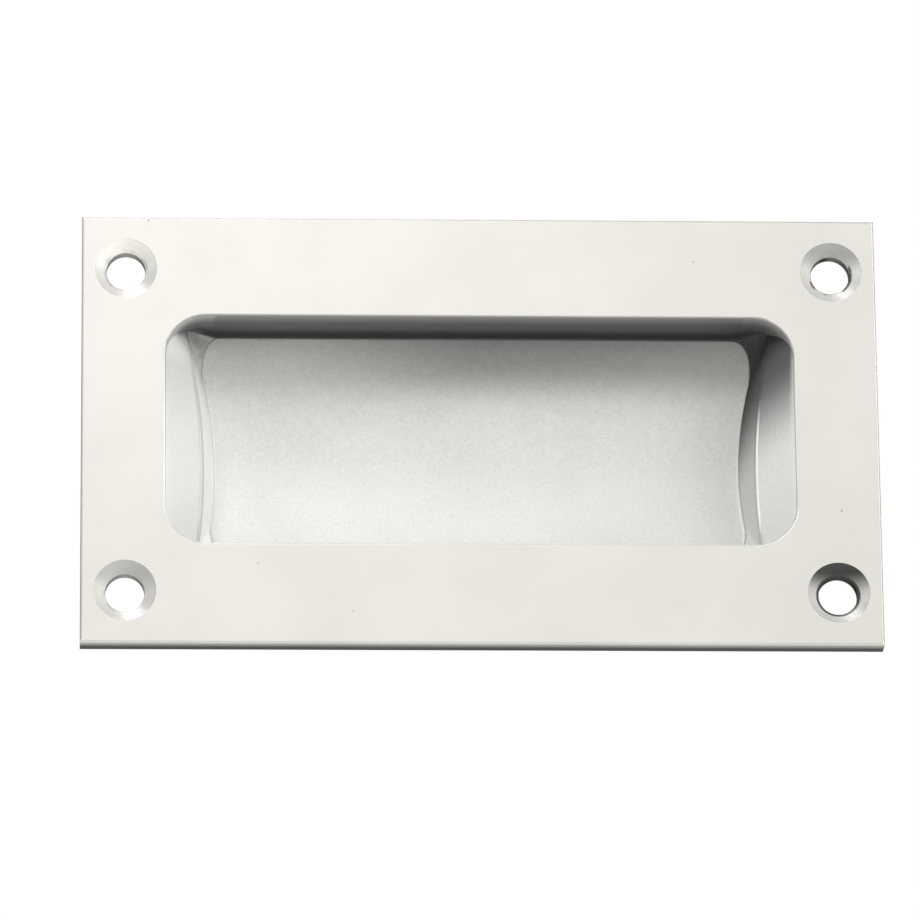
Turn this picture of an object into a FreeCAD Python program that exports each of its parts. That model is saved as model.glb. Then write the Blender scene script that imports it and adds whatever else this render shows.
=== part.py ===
import FreeCAD, Part
import math
import os
import Sketcher

# Recessed pull handle: a flat plate with a cast cup behind it, made as one piece.
# The plate stands upright in the XZ plane with its face towards -Y and +Z up.
# The origin is the centre of the screw pattern on the back face, which seats on
# the door. The finger recess opens in the face. Its floor is a shallow trough
# that runs along X. Each end falls in two steps: a sloping facet from the rim,
# then a steeper well wall below a soft crease. The opening's corners are rounded
# straight in from the face, so each facet meets them and the long walls in a
# sharp line. Depths are measured from the face.

SIZES = [
    ("plate_width", 102.0),
    ("plate_height", 57.0),
    ("plate_thickness", 3.0),
    ("plate_edge_radius", 0.3),
    ("opening_width", 80.5),
    ("opening_height", 30.4),
    ("opening_corner_radius", 5.3),
    ("opening_edge_radius", 0.3),
    ("rim_land", 0.5),
    ("side_ease", 0.1),
    ("crease_inset", 4.9),
    ("crease_depth", 4.5),
    ("crease_ease", 0.35),
    ("well_end_draft", 13.0),
    ("well_side_draft", 2.0),
    ("facet_corner_radius", 0.8),
    ("well_corner_radius", 8.0),
    ("well_end_bow_radius", 84.0),
    ("well_end_bow_drop", 4.6),
    ("recess_depth_middle", 11.0),
    ("recess_depth_edge", 7.8),
    ("floor_fillet_radius", 0.5),
    ("cup_wall", 1.8),
    ("cup_corner_radius", 4.8),
    ("cup_edge_radius", 1.2),
    ("screw_inset_x", 5.65),
    ("screw_inset_z", 6.95),
    ("screw_hole_diameter", 5.0),
    ("countersink_diameter", 8.0),
    ("countersink_angle", 90.0),
]

SHEET_NAME = "sizes"
ORIGIN_POINT = (-1, 1)
X_AXIS = -1
START = 1
END = 2
CENTRE = 3
SAME_PLACE = 0.01
SHARP_ANGLE = math.radians(3.0)


def make_sheet(doc):
    """Driving dimensions, in millimetres and degrees, each under its own name."""
    sheet = doc.addObject("Spreadsheet::Sheet", SHEET_NAME)
    for row, (name, value) in enumerate(SIZES, start=1):
        sheet.set(f"A{row}", name)
        sheet.set(f"B{row}", str(value))
        sheet.setAlias(f"B{row}", name)
    doc.recompute()
    return sheet


def size(name):
    return f"<<{SHEET_NAME}>>.{name}"


def value_of(sheet, expression):
    """The number that an expression on the sheet gives now."""
    result = sheet.evalExpression(expression)
    return float(getattr(result, "Value", result))


def origin_plane(body, role):
    return next(item for item in body.Origin.OriginFeatures if item.Role == role)


def add_sketch(body, name, role, offset=None):
    """A sketch on one of the body's own planes, moved along its normal by an expression."""
    sketch = body.newObject("Sketcher::SketchObject", name)
    sketch.AttachmentSupport = [(origin_plane(body, role), "")]
    sketch.MapMode = "FlatFace"
    if offset is not None:
        sketch.setExpression("AttachmentOffset.Base.z", offset)
    return sketch


def bind(sketch, name, index, expression):
    """Name one driving constraint and tie it to the sheet."""
    sketch.renameConstraint(index, name)
    sketch.setExpression(f"Constraints.{name}", expression)


def point(x, y):
    return FreeCAD.Vector(x, y, 0.0)


def arc(centre_x, centre_y, radius, start, end):
    circle = Part.Circle(point(centre_x, centre_y), FreeCAD.Vector(0, 0, 1), radius)
    return Part.ArcOfCircle(circle, start, end)


def close_outline(sketch, pieces):
    """Join the pieces end to start in a ring, each tangent to the next."""
    for index, piece in enumerate(pieces):
        following = pieces[(index + 1) % len(pieces)]
        sketch.addConstraint(Sketcher.Constraint("Tangent", piece[0], piece[2], following[0], following[1]))


def rectangle_outline(sketch, half_width, half_height, sheet):
    """A sharp-cornered rectangle centred on the sketch's origin."""
    wide = value_of(sheet, half_width)
    high = value_of(sheet, half_height)
    corners = [point(-wide, -high), point(wide, -high), point(wide, high), point(-wide, high)]
    for index, corner in enumerate(corners):
        sketch.addGeometry(Part.LineSegment(corner, corners[(index + 1) % 4]), False)
    for index in range(4):
        sketch.addConstraint(Sketcher.Constraint("Coincident", index, END, (index + 1) % 4, START))
    for index in (0, 2):
        sketch.addConstraint(Sketcher.Constraint("Horizontal", index))
        sketch.addConstraint(Sketcher.Constraint("Vertical", index + 1))
    sketch.addConstraint(Sketcher.Constraint("Symmetric", 0, START, 1, END, *ORIGIN_POINT))
    across = sketch.addConstraint(Sketcher.Constraint("DistanceX", 0, START, 0, END, 2 * wide))
    bind(sketch, "full_width", across, f"2 * ({half_width})")
    up = sketch.addConstraint(Sketcher.Constraint("DistanceY", 1, START, 1, END, 2 * high))
    bind(sketch, "full_height", up, f"2 * ({half_height})")


def add_corners(sketch, corner_places, radius):
    """Quarter-round corners, counterclockwise from the upper right."""
    for (centre_x, centre_y, start, end) in corner_places:
        sketch.addGeometry(arc(centre_x, centre_y, radius, start, end), False)


def drive_corners(sketch, first, radius_value, radius):
    """One radius, tied to the sheet, for the four corner arcs from index first on."""
    for index in range(first + 1, first + 4):
        sketch.addConstraint(Sketcher.Constraint("Equal", first, index))
    driven = sketch.addConstraint(Sketcher.Constraint("Radius", first, radius_value))
    bind(sketch, "corner_radius", driven, radius)


def drive_top_and_bottom(sketch, top, bottom, high, half_height):
    """The two long sides lie level, the same distance above and below the middle."""
    for line in (top, bottom):
        sketch.addConstraint(Sketcher.Constraint("Horizontal", line))
    upper = sketch.addConstraint(Sketcher.Constraint("DistanceY", *ORIGIN_POINT, top, START, high))
    bind(sketch, "half_height_above", upper, half_height)
    lower = sketch.addConstraint(Sketcher.Constraint("DistanceY", bottom, START, *ORIGIN_POINT, high))
    bind(sketch, "half_height_below", lower, half_height)


def straight_ended_outline(sketch, half_width, half_height, corner, sheet):
    """A rounded rectangle with straight ends."""
    wide = value_of(sheet, half_width)
    high = value_of(sheet, half_height)
    radius = value_of(sheet, corner)
    in_x = wide - radius
    in_y = high - radius
    lines = [
        (point(in_x, high), point(-in_x, high)),
        (point(-wide, in_y), point(-wide, -in_y)),
        (point(-in_x, -high), point(in_x, -high)),
        (point(wide, -in_y), point(wide, in_y)),
    ]
    for start, end in lines:
        sketch.addGeometry(Part.LineSegment(start, end), False)
    quarter = math.pi / 2
    places = [
        (in_x, in_y, 0.0, quarter),
        (-in_x, in_y, quarter, 2 * quarter),
        (-in_x, -in_y, 2 * quarter, 3 * quarter),
        (in_x, -in_y, 3 * quarter, 4 * quarter),
    ]
    add_corners(sketch, places, radius)
    top, left, bottom, right, upper_right, upper_left, lower_left, lower_right = range(8)
    ring = (upper_right, top, upper_left, left, lower_left, bottom, lower_right, right)
    close_outline(sketch, [(piece, START, END) for piece in ring])
    for line in (left, right):
        sketch.addConstraint(Sketcher.Constraint("Vertical", line))
    drive_top_and_bottom(sketch, top, bottom, high, half_height)
    drive_corners(sketch, upper_right, radius, corner)
    outward = sketch.addConstraint(Sketcher.Constraint("DistanceX", *ORIGIN_POINT, right, START, wide))
    bind(sketch, "half_width_right", outward, half_width)
    outward = sketch.addConstraint(Sketcher.Constraint("DistanceX", left, START, *ORIGIN_POINT, wide))
    bind(sketch, "half_width_left", outward, half_width)


def bowed_outline(sketch, half_width, half_height, corner, bow, sheet):
    """A rounded rectangle whose ends bow inwards, narrowest a little below mid-height."""
    wide = value_of(sheet, half_width)
    high = value_of(sheet, half_height)
    radius = value_of(sheet, corner)
    bow_radius = value_of(sheet, bow)
    drop = value_of(sheet, size("well_end_bow_drop"))
    bow_x = wide + bow_radius
    in_y = high - radius
    centres_apart = bow_radius + radius
    lean_above = math.asin((in_y + drop) / centres_apart)
    lean_below = math.asin((in_y - drop) / centres_apart)
    above_x = bow_x - centres_apart * math.cos(lean_above)
    below_x = bow_x - centres_apart * math.cos(lean_below)
    quarter = math.pi / 2
    half_turn = math.pi
    sketch.addGeometry(Part.LineSegment(point(above_x, high), point(-above_x, high)), False)
    sketch.addGeometry(Part.LineSegment(point(-below_x, -high), point(below_x, -high)), False)
    sketch.addGeometry(arc(-bow_x, -drop, bow_radius, -lean_below, lean_above), False)
    sketch.addGeometry(
        arc(bow_x, -drop, bow_radius, half_turn - lean_above, half_turn + lean_below), False)
    places = [
        (above_x, in_y, -lean_above, quarter),
        (-above_x, in_y, quarter, half_turn + lean_above),
        (-below_x, -in_y, half_turn - lean_below, 3 * quarter),
        (below_x, -in_y, 3 * quarter, 4 * quarter + lean_below),
    ]
    add_corners(sketch, places, radius)
    top, bottom, left, right, upper_right, upper_left, lower_left, lower_right = range(8)
    ring = [
        (upper_right, START, END),
        (top, START, END),
        (upper_left, START, END),
        (left, END, START),
        (lower_left, START, END),
        (bottom, START, END),
        (lower_right, START, END),
        (right, END, START),
    ]
    close_outline(sketch, ring)
    drive_top_and_bottom(sketch, top, bottom, high, half_height)
    drive_corners(sketch, upper_right, radius, corner)
    sketch.addConstraint(Sketcher.Constraint("Equal", left, right))
    driven = sketch.addConstraint(Sketcher.Constraint("Radius", right, bow_radius))
    bind(sketch, "bow_radius", driven, bow)
    reach = sketch.addConstraint(Sketcher.Constraint("DistanceX", *ORIGIN_POINT, right, CENTRE, bow_x))
    bind(sketch, "bow_centre_right", reach, f"{half_width} + {bow}")
    reach = sketch.addConstraint(Sketcher.Constraint("DistanceX", left, CENTRE, *ORIGIN_POINT, bow_x))
    bind(sketch, "bow_centre_left", reach, f"{half_width} + {bow}")
    for end, label in ((right, "bow_drop_right"), (left, "bow_drop_left")):
        lower = sketch.addConstraint(
            Sketcher.Constraint("DistanceY", end, CENTRE, *ORIGIN_POINT, drop))
        bind(sketch, label, lower, size("well_end_bow_drop"))


def half_height_at(depth, wall):
    """Half the hollow's height at a depth, a little over the opening's at the face."""
    draft = size("well_side_draft")
    at_face = f"{size('opening_height')} / 2 + {size('side_ease')}"
    return f"{at_face} - ({depth}) * tan({draft}) + ({wall}) / cos({draft})"


def facet_fall():
    """How far a facet falls from the land below the rim to the crease."""
    return f"({size('crease_depth')} - {size('rim_land')})"


def facet_reach(wall):
    """How far the wall's thickness pushes a facet sideways, seen in a plan section."""
    slant = f"sqrt({size('crease_inset')} ^ 2 + {facet_fall()} ^ 2)"
    return f"({wall}) * {slant} / {facet_fall()}"


def well_reach(wall):
    """How far the wall's thickness pushes a steep well wall sideways."""
    return f"({wall}) / cos({size('well_end_draft')})"


def facet_half_width_at(depth, wall):
    """Half the width between the sloping end facets at a depth, where they are closest."""
    run = f"(({depth}) - {size('rim_land')}) * {size('crease_inset')} / {facet_fall()}"
    return f"{size('opening_width')} / 2 - {run} + {facet_reach(wall)}"


def well_half_width_at(depth, wall):
    """Half the width between the steep well walls at a depth, where they are closest."""
    crease = f"{size('opening_width')} / 2 - {size('crease_inset')}"
    run = f"(({depth}) - {size('crease_depth')}) * tan({size('well_end_draft')})"
    return f"{crease} - {run} + {well_reach(wall)}"


def crease_depth(wall):
    """The depth where facet and well wall meet, both moved out by the wall's thickness."""
    slope = f"({size('crease_inset')} / {facet_fall()} - tan({size('well_end_draft')}))"
    return f"{size('crease_depth')} + ({facet_reach(wall)} - ({well_reach(wall)})) / {slope}"


def depth_offset(depth):
    """Sketch offset, along the outward normal of the face, for a depth below the face."""
    return f"{size('plate_thickness')} - ({depth})"


def floor_radius():
    """Radius of the trough's floor, from its depth at the middle and at the long sides."""
    half = f"({size('opening_height')} / 2)"
    rise = f"({size('recess_depth_middle')} - {size('recess_depth_edge')})"
    return f"({half} ^ 2 + {rise} ^ 2) / (2 * {rise})"


def overrun():
    """How far a hollow or a cut runs on past what it has to clear."""
    return size("cup_wall")


def add_loft(body, name, sketches):
    loft = body.newObject("PartDesign::AdditiveLoft", name)
    loft.Profile = sketches[0]
    loft.Sections = sketches[1:]
    loft.Ruled = True
    for sketch in sketches:
        sketch.Visibility = False
    return loft


def add_hollow(body, name, wall, upper_corner, bottom_corner, sheet):
    """The recess down to a flat bottom: rim, end facets, eased crease and steep well."""
    bow = f"{size('well_end_bow_radius')} - ({wall})"
    above = f"{crease_depth(wall)} - {size('crease_ease')}"
    below = f"{crease_depth(wall)} + {size('crease_ease')}"
    bottom = f"{size('recess_depth_middle')} + ({wall}) + {overrun()}"
    rim = add_sketch(body, f"{name}_rim", "XZ_Plane", depth_offset("0"))
    rim_width = facet_half_width_at("0", wall)
    straight_ended_outline(rim, rim_width, half_height_at("0", wall), upper_corner, sheet)
    sketches = [rim]
    levels = [
        ("above_crease", above, facet_half_width_at(above, wall), upper_corner),
        ("below_crease", below, well_half_width_at(below, wall), upper_corner),
        ("bottom", bottom, well_half_width_at(bottom, wall), bottom_corner),
    ]
    for label, depth, half_width, corner in levels:
        sketch = add_sketch(body, f"{name}_{label}", "XZ_Plane", depth_offset(depth))
        bowed_outline(sketch, half_width, half_height_at(depth, wall), corner, bow, sheet)
        sketches.append(sketch)
    return add_loft(body, name, sketches)


def add_trough_cut(body, name, wall, sheet):
    """Cut away all that lies behind the trough's curved floor, along the whole length."""
    sketch = add_sketch(body, f"{name}_profile", "YZ_Plane")
    radius_text = f"{floor_radius()} + ({wall})"
    centre_text = f"{floor_radius()} + {size('plate_thickness')} - {size('recess_depth_middle')}"
    half_text = f"{size('opening_height')} / 2 + ({wall}) + {overrun()}"
    reach_text = f"{radius_text} + 2 * {overrun()}"
    radius = value_of(sheet, radius_text)
    centre_back = value_of(sheet, centre_text)
    half = value_of(sheet, half_text)
    reach = value_of(sheet, reach_text)
    lean = math.asin(half / radius)
    edge = radius * math.cos(lean) - centre_back
    far = reach - centre_back
    sketch.addGeometry(arc(-centre_back, 0.0, radius, -lean, lean), False)
    corners = [point(edge, half), point(far, half), point(far, -half), point(edge, -half)]
    for start, end in zip(corners, corners[1:]):
        sketch.addGeometry(Part.LineSegment(start, end), False)
    floor_arc, top, back, bottom = range(4)
    sketch.addConstraint(Sketcher.Constraint("Coincident", floor_arc, END, top, START))
    sketch.addConstraint(Sketcher.Constraint("Coincident", top, END, back, START))
    sketch.addConstraint(Sketcher.Constraint("Coincident", back, END, bottom, START))
    sketch.addConstraint(Sketcher.Constraint("Coincident", bottom, END, floor_arc, START))
    sketch.addConstraint(Sketcher.Constraint("Horizontal", top))
    sketch.addConstraint(Sketcher.Constraint("Horizontal", bottom))
    sketch.addConstraint(Sketcher.Constraint("PointOnObject", floor_arc, CENTRE, X_AXIS))
    sketch.addConstraint(Sketcher.Constraint("Symmetric", back, START, back, END, X_AXIS))
    driven = sketch.addConstraint(Sketcher.Constraint("Radius", floor_arc, radius))
    bind(sketch, "floor_radius", driven, radius_text)
    driven = sketch.addConstraint(
        Sketcher.Constraint("DistanceX", floor_arc, CENTRE, *ORIGIN_POINT, centre_back))
    bind(sketch, "floor_centre", driven, centre_text)
    driven = sketch.addConstraint(Sketcher.Constraint("DistanceY", back, END, back, START, 2 * half))
    bind(sketch, "cut_height", driven, f"2 * ({half_text})")
    driven = sketch.addConstraint(
        Sketcher.Constraint("DistanceX", floor_arc, CENTRE, back, START, reach))
    bind(sketch, "cut_reach", driven, reach_text)
    pocket = body.newObject("PartDesign::Pocket", name)
    pocket.Profile = sketch
    pocket.Type = "ThroughAll"
    pocket.Midplane = True
    sketch.Visibility = False
    return pocket


def face_normal(face, place):
    u, v = face.Surface.parameter(place)
    return face.normalAt(u, v)


def middle_of(edge):
    return edge.valueAt((edge.FirstParameter + edge.LastParameter) / 2)


def sharp_edges(shape, wanted):
    """Names of the edges where two faces meet at an angle and whose middle is wanted."""
    names = []
    for number, edge in enumerate(shape.Edges, start=1):
        faces = shape.ancestorsOfType(edge, Part.Face)
        place = middle_of(edge)
        if len(faces) != 2 or not wanted(place):
            continue
        angle = face_normal(faces[0], place).getAngle(face_normal(faces[1], place))
        if angle > SHARP_ANGLE:
            names.append(f"Edge{number}")
    return names


def add_fillet(body, name, base, wanted, radius):
    """Round the wanted sharp edges of the base feature."""
    body.Document.recompute()
    names = sharp_edges(base.Shape, wanted)
    if not names:
        raise ValueError(f"{name} finds no edge")
    fillet = body.newObject("PartDesign::Fillet", name)
    fillet.Base = (base, names)
    fillet.setExpression("Radius", radius)
    return fillet


def on_trough(sheet, wall):
    """A test for points on the trough's curved floor, grown by the wall."""
    radius = value_of(sheet, f"{floor_radius()} + ({wall})")
    deepest = f"{size('recess_depth_middle')} - {size('plate_thickness')}"
    centre = value_of(sheet, f"{deepest} - ({floor_radius()})")
    return lambda place: abs(math.hypot(place.y - centre, place.z) - radius) < SAME_PLACE


def make_opening(doc, sheet):
    """The opening's rounded outline, carried straight in from the face past the floor."""
    opening = doc.addObject("PartDesign::Body", "recess_opening")
    sketch = add_sketch(opening, "opening_outline", "XZ_Plane", size("plate_thickness"))
    half_width = f"{size('opening_width')} / 2"
    half_height = f"{size('opening_height')} / 2"
    corner = size("opening_corner_radius")
    straight_ended_outline(sketch, half_width, half_height, corner, sheet)
    pad = opening.newObject("PartDesign::Pad", "opening_prism")
    pad.Profile = sketch
    pad.Reversed = True
    pad.setExpression("Length", f"{size('recess_depth_middle')} + 2 * {overrun()}")
    sketch.Visibility = False
    return opening


def combine(body, name, tool, operation):
    """Cut the tool body from this one, or keep only what both share."""
    boolean = body.newObject("PartDesign::Boolean", name)
    boolean.setObjects([tool])
    boolean.Type = operation


def make_recess_core(doc, sheet):
    """The hollow of the recess as a solid, like the core that casts it."""
    opening = make_opening(doc, sheet)
    core = doc.addObject("PartDesign::Body", "recess_core")
    facet_corner = size("facet_corner_radius")
    add_hollow(core, "core_hollow", "0", facet_corner, size("well_corner_radius"), sheet)
    combine(core, "core_outline", opening, "Common")
    trough = add_trough_cut(core, "core_floor", "0", sheet)
    floor = on_trough(sheet, "0")
    add_fillet(core, "core_floor_rounding", trough, floor, size("floor_fillet_radius"))
    return core


def add_plate(body, sheet):
    """The flat face plate, padded forwards from its seat."""
    sketch = add_sketch(body, "plate_outline", "XZ_Plane")
    half_width = f"{size('plate_width')} / 2"
    half_height = f"{size('plate_height')} / 2"
    rectangle_outline(sketch, half_width, half_height, sheet)
    pad = body.newObject("PartDesign::Pad", "plate")
    pad.Profile = sketch
    pad.setExpression("Length", size("plate_thickness"))
    sketch.Visibility = False


def add_cup(body, sheet):
    """The outside of the cup: the recess's own form, one wall thickness larger."""
    wall = size("cup_wall")
    corner = size("cup_corner_radius")
    add_hollow(body, "cup_form", wall, corner, corner, sheet)
    trough = add_trough_cut(body, "cup_back", wall, sheet)
    back = on_trough(sheet, wall)
    add_fillet(body, "cup_back_rounding", trough, back, size("cup_edge_radius"))


def add_screw_holes(body, sheet):
    """Four countersunk holes, each at the same distance from its corner of the plate."""
    sketch = add_sketch(body, "screw_pattern", "XZ_Plane", size("plate_thickness"))
    spacing_x = f"{size('plate_width')} - 2 * {size('screw_inset_x')}"
    spacing_z = f"{size('plate_height')} - 2 * {size('screw_inset_z')}"
    half_x = value_of(sheet, f"({spacing_x}) / 2")
    half_z = value_of(sheet, f"({spacing_z}) / 2")
    radius = value_of(sheet, f"{size('screw_hole_diameter')} / 2")
    signs = ((1, 1), (-1, 1), (-1, -1), (1, -1))
    for across, up in signs:
        circle = Part.Circle(point(across * half_x, up * half_z), FreeCAD.Vector(0, 0, 1), radius)
        sketch.addGeometry(circle, False)
    for index in (1, 2, 3):
        sketch.addConstraint(Sketcher.Constraint("Equal", 0, index))
    sketch.addConstraint(Sketcher.Constraint("Horizontal", 1, CENTRE, 0, CENTRE))
    sketch.addConstraint(Sketcher.Constraint("Horizontal", 2, CENTRE, 3, CENTRE))
    sketch.addConstraint(Sketcher.Constraint("Vertical", 2, CENTRE, 1, CENTRE))
    sketch.addConstraint(Sketcher.Constraint("Symmetric", 0, CENTRE, 2, CENTRE, *ORIGIN_POINT))
    driven = sketch.addConstraint(Sketcher.Constraint("Diameter", 0, 2 * radius))
    bind(sketch, "hole_diameter", driven, size("screw_hole_diameter"))
    driven = sketch.addConstraint(Sketcher.Constraint("DistanceX", 1, CENTRE, 0, CENTRE, 2 * half_x))
    bind(sketch, "spacing_x", driven, spacing_x)
    driven = sketch.addConstraint(Sketcher.Constraint("DistanceY", 3, CENTRE, 0, CENTRE, 2 * half_z))
    bind(sketch, "spacing_z", driven, spacing_z)
    body.Document.recompute()
    hole = body.newObject("PartDesign::Hole", "screw_holes")
    hole.Profile = sketch
    hole.ThreadType = "None"
    hole.DepthType = "ThroughAll"
    hole.setExpression("Diameter", size("screw_hole_diameter"))
    hole.HoleCutType = "Countersink"
    hole.HoleCutCustomValues = True
    hole.setExpression("HoleCutDiameter", size("countersink_diameter"))
    hole.setExpression("HoleCutCountersinkAngle", size("countersink_angle"))
    sketch.Visibility = False
    return hole


def round_rims(body, base, sheet):
    """Ease the face's outer edge and the rim of the recess."""
    face = -value_of(sheet, size("plate_thickness"))
    half_width = value_of(sheet, f"{size('plate_width')} / 2")
    half_height = value_of(sheet, f"{size('plate_height')} / 2")
    recess_width = value_of(sheet, f"{size('opening_width')} / 2")
    recess_height = value_of(sheet, f"{size('opening_height')} / 2")

    def on_face(place):
        return abs(place.y - face) < SAME_PLACE

    def outer_edge(place):
        at_end = abs(abs(place.x) - half_width) < SAME_PLACE
        at_long_side = abs(abs(place.z) - half_height) < SAME_PLACE
        return on_face(place) and (at_end or at_long_side)

    def recess_rim(place):
        within_width = abs(place.x) < recess_width + SAME_PLACE
        within_height = abs(place.z) < recess_height + SAME_PLACE
        return on_face(place) and within_width and within_height

    eased = add_fillet(body, "plate_edge_rounding", base, outer_edge, size("plate_edge_radius"))
    return add_fillet(body, "recess_rim_rounding", eased, recess_rim, size("opening_edge_radius"))


def make_handle(doc, sheet):
    """Plate, cup, recess and screw holes as one solid."""
    core = make_recess_core(doc, sheet)
    body = doc.addObject("PartDesign::Body", "pull_handle")
    body.Label = "pull_handle"
    add_plate(body, sheet)
    add_cup(body, sheet)
    combine(body, "recess", core, "Cut")
    holes = add_screw_holes(body, sheet)
    body.Tip = round_rims(body, holes, sheet)
    doc.recompute()
    return body


def check_objects(doc):
    """Stop if any feature failed or any solid is empty or broken."""
    for item in doc.Objects:
        if "Invalid" in item.State or "Error" in item.State:
            raise ValueError(f"{item.Name} failed: {item.State}")
        if item.isDerivedFrom("PartDesign::Body"):
            if item.Shape.isNull() or not item.Shape.isValid() or len(item.Shape.Solids) != 1:
                raise ValueError(f"{item.Name} isn't one sound solid")


def main():
    doc = FreeCAD.newDocument("pull_handle")
    sheet = make_sheet(doc)
    handle = make_handle(doc, sheet)
    check_objects(doc)
    os.makedirs("parts", exist_ok=True)
    handle.Shape.exportStep(f"parts/{handle.Label}.step")
    box = handle.Shape.optimalBoundingBox(False)
    print(f"{handle.Label}: volume {handle.Shape.Volume:.1f} mm3, faces {len(handle.Shape.Faces)}")
    print(f"x {box.XMin:.2f}..{box.XMax:.2f}, y {box.YMin:.2f}..{box.YMax:.2f}")
    print(f"z {box.ZMin:.2f}..{box.ZMax:.2f}")


main()
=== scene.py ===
import math

import bpy
from mathutils import Matrix, Vector

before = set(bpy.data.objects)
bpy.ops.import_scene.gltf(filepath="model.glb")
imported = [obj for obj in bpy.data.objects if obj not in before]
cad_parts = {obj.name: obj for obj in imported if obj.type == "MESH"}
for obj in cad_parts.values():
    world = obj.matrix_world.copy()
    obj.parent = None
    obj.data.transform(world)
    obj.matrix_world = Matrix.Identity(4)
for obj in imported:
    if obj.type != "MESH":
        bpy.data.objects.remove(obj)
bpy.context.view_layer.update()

# Places on the part, in metres. X goes across, Y is the depth from the front and Z goes up.
FACE_Y = -0.003
HOLE_X = 0.04535
HOLE_Z = 0.02155
COUNTERSINK_RADIUS = 0.004

# Camera, from the perspective of the plate's corners and holes in the photo.
TILT = math.radians(18.0)
YAW = math.radians(3.0)
ROLL = math.radians(-0.64)
DISTANCE = 0.970
FOCAL_PIXELS = 7598.0
IMAGE_PIXELS = 920.0
SENSOR_MM = 36.0
CENTRE_X = 481.0
CENTRE_Y = 429.55
FACE_CENTRE = Vector((0.0, FACE_Y, 0.0))
CLIP_START = 0.01

# Studio: sizes in metres, and how strongly the world lights the part.
FLOOR_LEVEL = -0.46
FLOOR_SIZE = 6.0
FLOOR_PAINT = (0.8, 0.8, 0.8)
FLOOR_ROUGHNESS = 0.8
LIGHT_DISTANCE = 0.8
LIGHT_SIDE = 0.35
NEAR_DISTANCE = 0.35
NEAR_SIDE = 0.2
WORLD_FILL = 0.02
WHITE = (1.0, 1.0, 1.0)

# Colours of the metal, and lighter and darker copies of it that are painted light and painted shade.
ALUMINIUM = (0.365, 0.36, 0.345)
CAST_SKIN = (0.36, 0.36, 0.352)
FLOOR_SKIN = (0.41, 0.41, 0.40)
# Painted light: the end facets and bands of the recess are lighter copies of the metal.
LEFT_FACET_LIT = (0.405, 0.405, 0.395)
RIGHT_FACET_LIT = (0.50, 0.50, 0.49)
LEFT_BAND_LIT = (0.68, 0.68, 0.67)
RIGHT_BAND_LIT = (0.54, 0.54, 0.53)
# Painted shade: the near-black colour laid where the recess is shut in or deep.
PAINTED_SHADE_COLOUR = (0.045, 0.045, 0.047)
# Turned metal of the cones, lighter than the face, partly as painted light.
TURNED_ALUMINIUM = (0.47, 0.46, 0.445)
# Painted light on the upper side of the turned cones, which faces down.
TURNED_UPPER_LIT = (0.90, 0.88, 0.85)
# Painted light and shade on the strip along the plate's lower edge.
UNDERSIDE_LIT_FRONT = (0.72, 0.72, 0.68)
UNDERSIDE_SHADED_BACK = (0.11, 0.11, 0.10)
# Painted shade on the right fillet.
FILLET_SHADE = (0.27, 0.27, 0.265)
# Painted light on the top of the left facet.
TOP_LEFT_LIT = (0.58, 0.58, 0.57)
# Edge wear and painted highlight: worn edges with painted glints, the crease highlight and the rim light.
WEAR_AND_HIGHLIGHT = (0.80, 0.80, 0.79)
# Dirt and painted shade: the colour of the specks, the darker lips and cones, and the painted shade in the
# bores.
DIRT_AND_SHADE = (0.02, 0.018, 0.02)
METALLIC = 0.4

# A mask is 0 at the first value of its pair and 1 at the second. A pair whose name ends in
# STRENGTH, SHADING or TONE has the results that a mask gives there, in place of 0 and 1.
LEFT_TO_RIGHT = (-0.030, 0.030)
JUST_INSIDE = (FACE_Y + 0.0001, FACE_Y + 0.0003)
CAST_DEPTH = (FACE_Y + 0.0003, FACE_Y + 0.0012)
PLATE_DEPTH = (-0.0002, -0.0003)
FRONT_NORMAL = (0.025, 0.012)
OPENING_HEIGHT = (0.0165, 0.0160)
OPENING_WIDTH = (0.0420, 0.0415)

# Screw holes.
CONE_RADIUS = (COUNTERSINK_RADIUS, COUNTERSINK_RADIUS - 0.00004)
NEAR_HOLE_RADIUS = (COUNTERSINK_RADIUS + 0.0006, COUNTERSINK_RADIUS + 0.0004)
UPPER_CONE_RISE = (-0.0005, 0.0030)

# Floor and fillets of the recess.
FLOOR_SLOPE = (0.80, 0.90)
FLOOR_DEPTH = (0.0030, 0.0040)
FILLET_SLOPE = (0.35, 0.50)
FILLET_ACROSS = (0.0, 0.030)

# Ends of the recess: facet and steeper band with painted light, painted highlight on the crease, and painted
# shadow in the upper corner.
FACET_START = (0.0335, 0.0345)
FACET_END = (0.0404, 0.04025)
FACET_DEPTH = (0.00155, 0.00148)
CREASE_FRONT = (0.00115, 0.00125)
CREASE_BACK = (0.00160, 0.00150)
CREASE_END = (0.0380, 0.0375)
CREASE_TOP = (0.0065, -0.0010)
CREASE_BOTTOM = (-0.0130, -0.0100)
CREASE_STRENGTH = (0.3, 1.0)
STEEP_START = (0.06, 0.16)
BAND_SLOPE = (0.62, 0.45)
BAND_DEPTH = (0.0010, 0.0013)
CORNER_START = (0.0305, 0.0330)
CORNER_X = 0.037
CORNER_SLANT = 0.63
CORNER_RISE = (-0.0040, 0.0085)
TOP_LEFT_UP = (0.0085, 0.0130)
TOP_LEFT_ACROSS = (0.0, -0.030)

# Painted shade on the upper wall of the recess, darker with depth.
TOP_WALL_UP = (0.0120, 0.0150)
TOP_WALL_SLOPE = (0.20, 0.12)
TOP_FILLET_UP = (0.0146, 0.0149)
WALL_DEPTH = (FACE_Y, 0.0005)
WALL_SHADING = (0.0, 0.68)
DEEP_DEPTH = (0.001, 0.0040)
DEEP_SHADING = (0.0, 0.4)
SHADE_SHARE = 0.94

# Painted light on the lower rim of the opening, and painted light and shade on the strip along the plate's
# lower edge.
LOWER_HALF = (0.010, 0.002)
LAND_SLOPE = (0.12, 0.05)
RIM_SLOPE = (0.98, 0.85)
RIM_DEPTH = (FACE_Y + 0.0005, FACE_Y + 0.0004)
RIM_LIGHT = 0.3
UNDERSIDE_UP = (-0.0280, -0.0283)
UNDERSIDE_SLOPE = (0.97, 0.80)
UNDERSIDE_DEPTH = (-0.0029, -0.0009)
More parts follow.
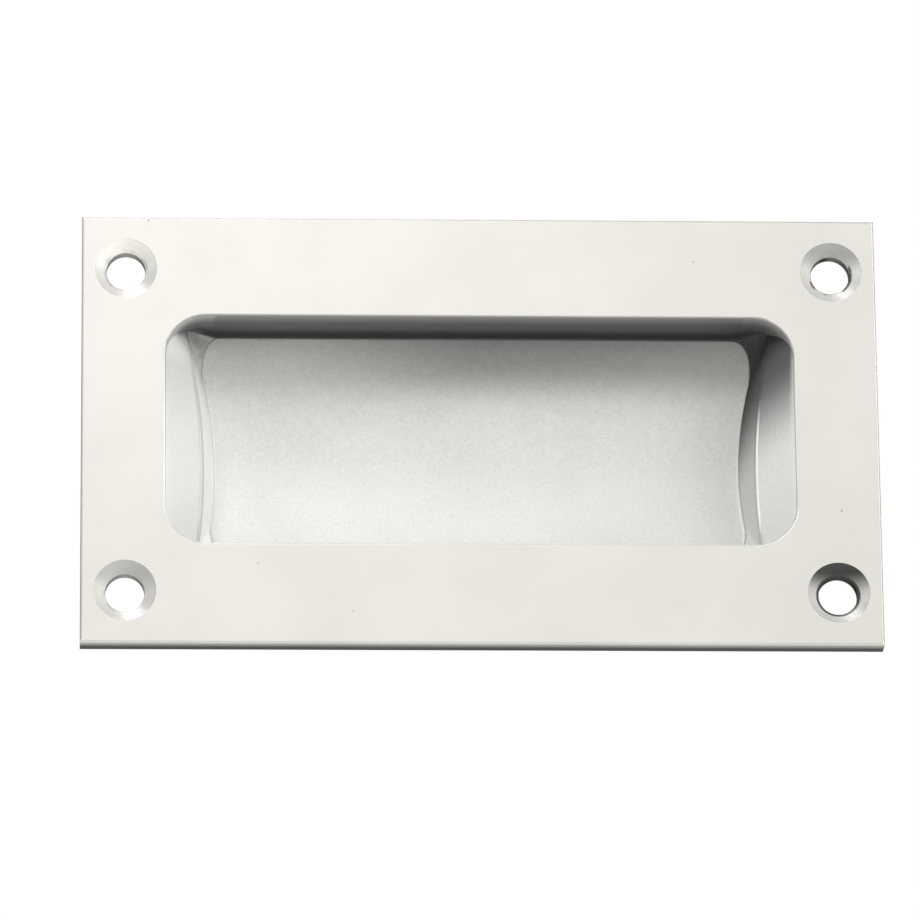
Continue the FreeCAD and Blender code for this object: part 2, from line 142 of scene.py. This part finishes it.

# Painted shade of the places that the walls shut in, and of the floor.
SHUT_IN_REACH = 0.010
SHUT_IN = (0.15, 0.80)
UNSHADED_BELOW = (0.006, -0.004)
LIT_LEFT_ACROSS = (-0.030, -0.034)
LIT_LEFT_UP = (0.0149, 0.0130)
LIT_LEFT_STRENGTH = (0.0, 0.85)
FLOOR_UP = (-0.002, 0.008)
FLOOR_TONE = (0.87, 1.0)
MIDDLE_FROM_LEFT = (-0.028, 0.002)
MIDDLE_FROM_RIGHT = (0.045, 0.004)
MIDDLE_RIGHT_STRENGTH = (0.55, 1.0)
MIDDLE_UP = (0.0060, 0.0125)
MIDDLE_SHADE = 0.48

# Textures: the scale and the detail of each noise, and the strengths of what it changes.
FINE_NOISE = (9000.0, 2.0)
COARSE_NOISE = (4200.0, 3.0)
MOTTLE_NOISE = (900.0, 4.0)
PATCH_NOISE = (420.0, 2.0)
SLOW_NOISE = (60.0, 2.0)
NOISE_ROUGHNESS = 0.6
NOISE_RANGE = (0.3, 0.7)
COARSE_RANGE = (0.35, 0.65)
COARSE_TONE = (-0.5, 0.5)
GRAIN_STRENGTH = 0.10
SLOW_TONE = (0.97, 1.02)
MOTTLE_TONE = (-0.035, 0.035)
MOTTLE_UP = (-0.004, 0.006)

# Dirt specks, painted shade in the bores of the holes, and darker ragged lips and darker upper cones of the
# holes.
SPECK_CELLS = 200.0
SPECK_RADIUS = 0.024
SPECK_SHARE = 0.7
LIP_BIAS_UP = (0.02, -0.02)
LIP_BIAS_ACROSS = (0.0, 0.04)
LIP_BIAS_STRENGTH = (0.0, 0.26)
LIP_RADIUS = (0.0030, 0.0027)
LIP_RAGGED = (0.46, 0.60)
LIP_STRENGTH = (0.3, 0.95)
BORE_RADIUS = (0.00262, 0.00252)
BORE_STRENGTH = (0.35, 0.7)
DARKENING_UP = (-0.02, 0.02)
RIGHT_DARKENING_ACROSS = (-0.02, 0.02)
RIGHT_DARKENING_STRENGTH = (0.96, 0.54)
LEFT_DARKENING_ACROSS = (0.02, -0.02)
LEFT_DARKENING_STRENGTH = (0.42, 0.0)

# Gloss and relief. Each bump has its height in metres and its strength, and FINE_ROUGHNESS
# is what the fine grain adds to the roughness at both ends of its range.
FACE_ROUGHNESS = 0.47
CAST_ROUGHNESS = 0.07
FINE_ROUGHNESS = (-0.05, 0.05)
SMOOTHER = 0.05
BEVEL_RADIUS = 0.00012
EDGE_COSINE = (0.995, 0.93)
# Strength of the edge wear and painted glints along the edges.
EDGE_WEAR_AND_GLINT = 0.10
TURNING_PITCH = 0.00028
FINE_BUMP = (0.00001, 0.35)
COARSE_BUMP = (0.00003, 0.6)
TURNING_BUMP = (0.00001, 0.5)
RAY_SAMPLES = 4


def add_camera():
    """The photo's viewpoint: in front of the plate, a little to the left and well below."""
    ahead = Vector((math.sin(YAW) * math.cos(TILT), math.cos(YAW) * math.cos(TILT), math.sin(TILT)))
    right = Vector((math.cos(YAW), -math.sin(YAW), 0.0))
    up = right.cross(ahead)
    rolled_right = right * math.cos(ROLL) + up * math.sin(ROLL)
    rolled_up = up * math.cos(ROLL) - right * math.sin(ROLL)
    data = bpy.data.cameras.new("camera")
    data.sensor_width = SENSOR_MM
    data.lens = FOCAL_PIXELS / IMAGE_PIXELS * SENSOR_MM
    data.shift_x = (IMAGE_PIXELS / 2 - CENTRE_X) / IMAGE_PIXELS
    data.shift_y = (CENTRE_Y - IMAGE_PIXELS / 2) / IMAGE_PIXELS
    data.clip_start = CLIP_START
    camera = bpy.data.objects.new("camera", data)
    bpy.context.scene.collection.objects.link(camera)
    axes = Matrix((rolled_right, rolled_up, -ahead)).transposed()
    camera.matrix_world = Matrix.Translation(FACE_CENTRE - ahead * DISTANCE) @ axes.to_4x4()
    bpy.context.scene.camera = camera


def add_light(name, azimuth, elevation, power, colour, distance=LIGHT_DISTANCE, side=LIGHT_SIDE):
    """A square softbox aimed at the part, placed by angles seen from the part's front."""
    around = math.radians(azimuth)
    above = math.radians(elevation)
    out = math.cos(above) * distance
    place = Vector((out * math.sin(around), -out * math.cos(around), distance * math.sin(above)))
    data = bpy.data.lights.new(name, "AREA")
    data.size = side
    data.energy = power
    data.color = colour
    light = bpy.data.objects.new(name, data)
    bpy.context.scene.collection.objects.link(light)
    light.location = place
    light.rotation_euler = (-place).to_track_quat("-Z", "Y").to_euler()


def rgba(colour):
    return (*colour, 1.0)


class Nodes:
    """Short calls for the nodes of one node tree."""

    def __init__(self, tree):
        self.tree = tree

    def feed(self, socket, value):
        if isinstance(value, bpy.types.NodeSocket):
            self.tree.links.new(value, socket)
        else:
            socket.default_value = value

    def add(self, kind, **sockets):
        node = self.tree.nodes.new(kind)
        for name, value in sockets.items():
            self.feed(node.inputs[name], value)
        return node

    def math(self, operation, *values):
        node = self.tree.nodes.new("ShaderNodeMath")
        node.operation = operation
        for socket, value in zip(node.inputs, values):
            self.feed(socket, value)
        return node.outputs[0]

    def product(self, first, *others):
        for value in others:
            first = self.math("MULTIPLY", first, value)
        return first

    def largest(self, first, *others):
        for value in others:
            first = self.math("MAXIMUM", first, value)
        return first

    def total(self, first, *others):
        for value in others:
            first = self.math("ADD", first, value)
        return first

    def rest(self, value):
        """What is left of one."""
        return self.math("SUBTRACT", 1.0, value)

    def ramp(self, value, limits, results=(0.0, 1.0)):
        """A smooth step of the value between two limits, with the result at each."""
        node = self.tree.nodes.new("ShaderNodeMapRange")
        node.interpolation_type = "SMOOTHSTEP"
        names = ("Value", "From Min", "From Max", "To Min", "To Max")
        for name, given in zip(names, (value, *limits, *results)):
            self.feed(node.inputs[name], given)
        return node.outputs[0]

    def cosine(self, first, second):
        """The cosine of the angle between two directions."""
        node = self.tree.nodes.new("ShaderNodeVectorMath")
        node.operation = "DOT_PRODUCT"
        self.feed(node.inputs[0], first)
        self.feed(node.inputs[1], second)
        return node.outputs["Value"]

    def scaled(self, colour, amount):
        node = self.tree.nodes.new("ShaderNodeVectorMath")
        node.operation = "SCALE"
        self.feed(node.inputs[0], colour)
        self.feed(node.inputs["Scale"], amount)
        return node.outputs[0]

    def blend(self, amount, first, second):
        """Mix two colours or directions."""
        node = self.tree.nodes.new("ShaderNodeMix")
        node.data_type = "RGBA"
        self.feed(node.inputs[0], amount)
        self.feed(node.inputs[6], first)
        self.feed(node.inputs[7], second)
        return node.outputs[2]

    def noise(self, place, kind):
        scale, detail = kind
        node = self.add("ShaderNodeTexNoise", Vector=place, Scale=scale, Detail=detail)
        self.feed(node.inputs["Roughness"], NOISE_ROUGHNESS)
        return node.outputs[0]

    def bump(self, height, kind, normal):
        distance, strength = kind
        node = self.add("ShaderNodeBump", Height=height, Distance=distance, Strength=strength)
        self.feed(node.inputs["Normal"], normal)
        return node.outputs[0]


def set_world():
    """White to the camera, nearly dark to everything else."""
    world = bpy.data.worlds.new("studio")
    bpy.context.scene.world = world
    world.use_nodes = True
    world.node_tree.nodes.clear()
    nodes = Nodes(world.node_tree)
    path = nodes.add("ShaderNodeLightPath")
    seen = nodes.add("ShaderNodeBackground", Color=rgba(WHITE), Strength=1.0)
    fill = nodes.add("ShaderNodeBackground", Color=rgba(WHITE), Strength=WORLD_FILL)
    mix = nodes.add("ShaderNodeMixShader")
    for socket, value in zip(mix.inputs, (path.outputs["Is Camera Ray"], fill.outputs[0], seen.outputs[0])):
        nodes.feed(socket, value)
    nodes.add("ShaderNodeOutputWorld", Surface=mix.outputs[0])


class Surface:
    """Where each point of the part is and how it faces, and the main areas that this gives.

    Outward and height are measured from the plate's middle, to both sides alike.
    """

    def __init__(self, nodes):
        self.place = nodes.add("ShaderNodeTexCoord").outputs["Object"]
        self.across, self.depth, self.up = nodes.add("ShaderNodeSeparateXYZ", Vector=self.place).outputs
        self.outward = nodes.math("ABSOLUTE", self.across)
        self.height = nodes.math("ABSOLUTE", self.up)
        self.flat = nodes.add("ShaderNodeNewGeometry").outputs["Normal"]
        backward = nodes.add("ShaderNodeSeparateXYZ", Vector=self.flat).outputs["Y"]
        self.slope = nodes.math("ABSOLUTE", backward)
        self.front = nodes.ramp(backward, FRONT_NORMAL)
        self.add_recess(nodes)
        self.add_holes(nodes)

    def add_recess(self, nodes):
        """The cast skin behind the face, the opening of the recess and its floor."""
        self.cast = nodes.ramp(self.depth, CAST_DEPTH)
        self.opening = nodes.product(
            nodes.ramp(self.height, OPENING_HEIGHT),
            nodes.ramp(self.outward, OPENING_WIDTH),
            self.front,
        )
        self.floor = nodes.product(
            nodes.ramp(self.slope, FLOOR_SLOPE),
            nodes.ramp(self.depth, FLOOR_DEPTH),
            self.front,
        )
        self.not_floor = nodes.rest(self.floor)

    def add_holes(self, nodes):
        """The distance from the nearest hole's axis, and the turned cones of the countersinks."""
        from_hole_x = nodes.math("SUBTRACT", self.outward, HOLE_X)
        from_hole_z = nodes.math("SUBTRACT", self.height, HOLE_Z)
        squares = nodes.total(nodes.math("POWER", from_hole_x, 2.0), nodes.math("POWER", from_hole_z, 2.0))
        self.radius = nodes.math("SQRT", squares)
        self.ahead = nodes.ramp(self.depth, PLATE_DEPTH)
        self.turned = nodes.product(nodes.ramp(self.radius, CONE_RADIUS), self.ahead)
        hole_up = nodes.product(nodes.math("SIGN", self.up), HOLE_Z)
        above_hole = nodes.math("SUBTRACT", self.up, hole_up)
        self.upper_cone = nodes.product(nodes.ramp(above_hole, UPPER_CONE_RISE), self.turned)


def facet_mask(nodes, part):
    """The sloping facet at each end of the recess."""
    return nodes.product(
        nodes.ramp(part.outward, FACET_START),
        nodes.ramp(part.outward, FACET_END),
        nodes.ramp(part.depth, JUST_INSIDE),
        nodes.ramp(part.depth, FACET_DEPTH),
        nodes.ramp(part.height, OPENING_HEIGHT),
        part.opening,
    )


def crease_highlight_mask(nodes, part):
    """Painted highlight along the crease between facet and band in the lower half, stronger on the right."""
    return nodes.product(
        nodes.ramp(part.depth, CREASE_FRONT),
        nodes.ramp(part.depth, CREASE_BACK),
        nodes.ramp(part.outward, FACET_START),
        nodes.ramp(part.outward, CREASE_END),
        nodes.ramp(part.up, CREASE_TOP),
        nodes.ramp(part.up, CREASE_BOTTOM),
        nodes.ramp(part.across, LEFT_TO_RIGHT, CREASE_STRENGTH),
        part.opening,
    )


def band_mask(nodes, part):
    """The steeper wall behind each facet."""
    return nodes.product(
        nodes.ramp(part.slope, STEEP_START),
        nodes.ramp(part.slope, BAND_SLOPE),
        nodes.ramp(part.depth, BAND_DEPTH),
        part.opening,
    )


def fillet_shade_mask(nodes, part):
    """Painted shade on the fillet between floor and walls, on the right."""
    return nodes.product(
        nodes.ramp(part.slope, FILLET_SLOPE),
        nodes.ramp(part.depth, FLOOR_DEPTH),
        nodes.ramp(part.across, FILLET_ACROSS),
        part.not_floor,
        part.opening,
    )


def rim_light_mask(nodes, part):
    """Painted light on the lower half of the opening's rim, on its wall and on its rounded edge."""
    land = nodes.product(nodes.ramp(part.slope, LAND_SLOPE), nodes.ramp(part.depth, JUST_INSIDE))
    rounded = nodes.product(nodes.ramp(part.slope, RIM_SLOPE), nodes.ramp(part.depth, RIM_DEPTH))
    return nodes.product(nodes.largest(land, rounded), nodes.ramp(part.up, LOWER_HALF), part.opening)


def corner_shadow_mask(nodes, part):
    """Painted shadow in the upper right corner of the recess, above a slanted line."""
    slant = nodes.product(nodes.math("SUBTRACT", part.across, CORNER_X), CORNER_SLANT)
    return nodes.product(
        nodes.ramp(part.across, CORNER_START),
        nodes.ramp(nodes.math("SUBTRACT", part.up, slant), CORNER_RISE),
        nodes.ramp(part.slope, STEEP_START),
        part.not_floor,
    )


def deep_wall_shade_mask(nodes, part):
    """Painted shade on the upper long wall and its fillet, stronger with depth."""
    wall = nodes.product(nodes.ramp(part.up, TOP_WALL_UP), nodes.ramp(part.slope, TOP_WALL_SLOPE))
    down_wall = nodes.total(
        nodes.ramp(part.depth, WALL_DEPTH, WALL_SHADING),
        nodes.ramp(part.depth, DEEP_DEPTH, DEEP_SHADING),
    )
    return nodes.product(nodes.largest(wall, nodes.ramp(part.up, TOP_FILLET_UP)), down_wall)


def painted_shade_mask(nodes, part):
    """The parts of the recess with the darkest painted shade."""
    deepest = nodes.largest(corner_shadow_mask(nodes, part), deep_wall_shade_mask(nodes, part))
    return nodes.product(deepest, part.cast, part.opening)


def wall_openness(nodes, part):
    """How open each wall is, which sets its painted shade: by ambient occlusion, but open in the lower part,
    at the lit top of the left end and outside the recess.
    """
    shut_in = nodes.add("ShaderNodeAmbientOcclusion", Distance=SHUT_IN_REACH)
    shut_in.samples = RAY_SAMPLES
    lit_left = nodes.product(
        nodes.ramp(part.across, LIT_LEFT_ACROSS),
        nodes.ramp(part.up, LIT_LEFT_UP, LIT_LEFT_STRENGTH),
    )
    return nodes.largest(
        nodes.ramp(shut_in.outputs["AO"], SHUT_IN),
        # No painted shade in the lower part of the recess.
        nodes.ramp(part.up, UNSHADED_BELOW),
        nodes.rest(part.opening),
        lit_left,
    )


def floor_openness(nodes, part):
    """Painted shade on the floor: a little in its lower part, and more in the middle of its upper part."""
    middle = nodes.product(
        nodes.ramp(part.across, MIDDLE_FROM_LEFT),
        nodes.ramp(part.across, MIDDLE_FROM_RIGHT, MIDDLE_RIGHT_STRENGTH),
        nodes.ramp(part.up, MIDDLE_UP),
    )
    shaded = nodes.rest(nodes.product(middle, MIDDLE_SHADE))
    return nodes.product(nodes.ramp(part.up, FLOOR_UP, FLOOR_TONE), shaded)


def underside_colour(nodes, part, plain):
    """The strip along the plate's lower edge, with painted light at its front and painted shade to the back.
    """
    strip = nodes.blend(nodes.ramp(part.depth, UNDERSIDE_DEPTH), rgba(UNDERSIDE_LIT_FRONT), rgba(UNDERSIDE_SHADED_BACK))
    below = nodes.product(nodes.ramp(part.up, UNDERSIDE_UP), nodes.ramp(part.slope, UNDERSIDE_SLOPE))
    return nodes.blend(below, plain, strip)


def end_colour(nodes, part, plain):
    """The two ends of the recess, each with its band and its facet in lighter copies of the metal that are
    painted light.
    """
    rightward = nodes.ramp(part.across, LEFT_TO_RIGHT)
    band = nodes.blend(rightward, rgba(LEFT_BAND_LIT), rgba(RIGHT_BAND_LIT))
    plain = nodes.blend(band_mask(nodes, part), plain, band)
    # Painted light on the top of the left facet.
    top_left = nodes.product(nodes.ramp(part.up, TOP_LEFT_UP), nodes.ramp(part.across, TOP_LEFT_ACROSS))
    facet = nodes.blend(rightward, rgba(LEFT_FACET_LIT), rgba(RIGHT_FACET_LIT))
    facet = nodes.blend(top_left, facet, rgba(TOP_LEFT_LIT))
    return nodes.blend(facet_mask(nodes, part), plain, facet)


def shaded_colour(nodes, part, plain):
    """Painted shade where the recess is shut in or deep."""
    walls = nodes.product(wall_openness(nodes, part), part.not_floor)
    floor = nodes.product(floor_openness(nodes, part), part.floor)
    plain = nodes.blend(nodes.total(walls, floor), rgba(PAINTED_SHADE_COLOUR), plain)
    return nodes.blend(nodes.product(painted_shade_mask(nodes, part), SHADE_SHARE), plain, rgba(PAINTED_SHADE_COLOUR))


def clean_colour(nodes, part, edge):
    """The metal: skins, with painted light on the rim, the underside strip, the ends of the recess and the
    cones' upper side, painted shade in the recess, on the fillet and the underside, and worn edges with
    painted glints and a painted highlight on the crease.
    """
    plain = nodes.blend(part.cast, rgba(ALUMINIUM), rgba(CAST_SKIN))
    plain = nodes.blend(part.floor, plain, rgba(FLOOR_SKIN))
    # Painted light on the lower rim of the opening.
    plain = nodes.blend(nodes.product(rim_light_mask(nodes, part), RIM_LIGHT), plain, rgba(WEAR_AND_HIGHLIGHT))
    plain = underside_colour(nodes, part, plain)
    plain = nodes.blend(fillet_shade_mask(nodes, part), plain, rgba(FILLET_SHADE))
    plain = end_colour(nodes, part, plain)
    plain = shaded_colour(nodes, part, plain)
    # Painted light on the upper side of each cone.
    cone = nodes.blend(part.upper_cone, rgba(TURNED_ALUMINIUM), rgba(TURNED_UPPER_LIT))
    plain = nodes.blend(part.turned, plain, cone)
    wear_and_glint = nodes.product(edge, EDGE_WEAR_AND_GLINT, nodes.rest(part.cast))
    # Painted highlight on the crease, and edge wear with painted glints.
    return nodes.blend(nodes.largest(wear_and_glint, crease_highlight_mask(nodes, part)), plain, rgba(WEAR_AND_HIGHLIGHT))


def small_tones(nodes, part, coarse):
    """Slow changes of tone, grain in the cast skin and mottling on the upper floor."""
    slow = nodes.ramp(nodes.noise(part.place, SLOW_NOISE), NOISE_RANGE, SLOW_TONE)
    grain = nodes.product(nodes.ramp(coarse, COARSE_RANGE, COARSE_TONE), part.cast, GRAIN_STRENGTH)
    mottle = nodes.product(
        nodes.ramp(nodes.noise(part.place, MOTTLE_NOISE), NOISE_RANGE, MOTTLE_TONE),
        nodes.ramp(part.up, MOTTLE_UP),
        part.floor,
    )
    return nodes.total(slow, grain, mottle)


def upper_cone_darkening(nodes, part):
    """The upper side of the cones darker, more on the right and in the lower holes."""
    right_darkening = nodes.product(
        nodes.ramp(part.across, RIGHT_DARKENING_ACROSS),
        nodes.ramp(part.up, DARKENING_UP, RIGHT_DARKENING_STRENGTH),
    )
    left_darkening = nodes.product(
        nodes.ramp(part.across, LEFT_DARKENING_ACROSS),
        nodes.ramp(part.up, DARKENING_UP, LEFT_DARKENING_STRENGTH),
    )
    return nodes.product(nodes.total(right_darkening, left_darkening), part.upper_cone)


def dirt_and_shade_mask(nodes, part):
    """Dirt specks on the front, painted shade in the bores of the holes, and darker lips and upper cones of
    the holes.
    """
    cells = nodes.add("ShaderNodeTexVoronoi", Vector=part.place, Scale=SPECK_CELLS)
    speck = nodes.math("LESS_THAN", cells.outputs["Distance"], SPECK_RADIUS)
    lip_bias = nodes.product(
        nodes.ramp(part.up, LIP_BIAS_UP),
        nodes.ramp(part.across, LIP_BIAS_ACROSS, LIP_BIAS_STRENGTH),
    )
    ragged = nodes.total(nodes.noise(part.place, PATCH_NOISE), lip_bias)
    lip = nodes.product(
        nodes.ramp(part.radius, LIP_RADIUS),
        nodes.ramp(ragged, LIP_RAGGED),
        nodes.ramp(part.across, LEFT_TO_RIGHT, LIP_STRENGTH),
    )
    # Painted shade in the bores of the holes, stronger on the right.
    bore = nodes.product(
        nodes.ramp(part.radius, BORE_RADIUS),
        nodes.ramp(part.across, LEFT_TO_RIGHT, BORE_STRENGTH),
    )
    darkened = nodes.largest(lip, nodes.product(speck, SPECK_SHARE), bore, upper_cone_darkening(nodes, part))
    return nodes.product(darkened, part.ahead)


def roughness(nodes, part, fine, edge):
    """Satin face, duller cast skin, smoother turned metal and edges."""
    rough = nodes.total(
        nodes.product(part.cast, CAST_ROUGHNESS),
        FACE_ROUGHNESS,
        nodes.ramp(fine, NOISE_RANGE, FINE_ROUGHNESS),
    )
    return nodes.math("SUBTRACT", rough, nodes.product(nodes.largest(part.turned, edge), SMOOTHER))


def relief(nodes, part, soft, fine, coarse):
    """Soft edges away from the holes, grain, and turning marks in the cones."""
    rings = nodes.math("SINE", nodes.product(part.radius, 2 * math.pi / TURNING_PITCH))
    normal = nodes.blend(nodes.ramp(part.radius, NEAR_HOLE_RADIUS), soft, part.flat)
    normal = nodes.bump(fine, FINE_BUMP, normal)
    normal = nodes.bump(nodes.product(coarse, part.cast), COARSE_BUMP, normal)
    return nodes.bump(nodes.product(rings, part.turned), TURNING_BUMP, normal)


def satin_aluminium():
    """Cast aluminium: a fine satin face, coarser cast skin in the recess, turned screw holes, with painted
    light and painted shade.
    """
    material = bpy.data.materials.new("satin_aluminium")
    material.use_nodes = True
    nodes = Nodes(material.node_tree)
    part = Surface(nodes)
    fine = nodes.noise(part.place, FINE_NOISE)
    coarse = nodes.noise(part.place, COARSE_NOISE)
    bevel = nodes.add("ShaderNodeBevel", Radius=BEVEL_RADIUS)
    bevel.samples = RAY_SAMPLES
    soft = bevel.outputs[0]
    edge = nodes.ramp(nodes.cosine(soft, part.flat), EDGE_COSINE)
    clean = nodes.scaled(clean_colour(nodes, part, edge), small_tones(nodes, part, coarse))
    shader = material.node_tree.nodes["Principled BSDF"]
    nodes.feed(shader.inputs["Base Color"], nodes.blend(dirt_and_shade_mask(nodes, part), clean, rgba(DIRT_AND_SHADE)))
    nodes.feed(shader.inputs["Metallic"], METALLIC)
    nodes.feed(shader.inputs["Roughness"], roughness(nodes, part, fine, edge))
    nodes.feed(shader.inputs["Normal"], relief(nodes, part, soft, fine, coarse))
    return material


def add_floor():
    """A plain floor well below the part."""
    bpy.ops.mesh.primitive_plane_add(size=FLOOR_SIZE, location=(0.0, 0.0, FLOOR_LEVEL))
    floor = bpy.context.object
    floor.name = "floor"
    material = bpy.data.materials.new("floor")
    material.use_nodes = True
    shader = material.node_tree.nodes["Principled BSDF"]
    shader.inputs["Base Color"].default_value = rgba(FLOOR_PAINT)
    shader.inputs["Roughness"].default_value = FLOOR_ROUGHNESS
    floor.data.materials.append(material)


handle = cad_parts["pull_handle"]
handle.data.materials.clear()
handle.data.materials.append(satin_aluminium())

bpy.context.scene.view_settings.view_transform = "Standard"
add_camera()
set_world()

# Lights: azimuth and elevation in degrees, power in watts, and colour.
add_light("front_low", 0, 8, 2.6, (1.0, 0.963, 0.919))
add_light("below", 0, -12, 0.75, (0.92, 1.0, 0.97))
add_light("left", -65, 20, 1.9, (0.942, 1.0, 0.957))
add_light("right", 45, 30, 2.1, (0.97, 0.97, 1.0))
add_light("right_low", 60, 15, 4.4, (0.98, 1.0, 0.96))
add_light("near", -20, 45, 1.2, (1.0, 0.973, 0.965), NEAR_DISTANCE, NEAR_SIDE)
add_light("back", 205, 50, 6.0, WHITE)
add_floor()
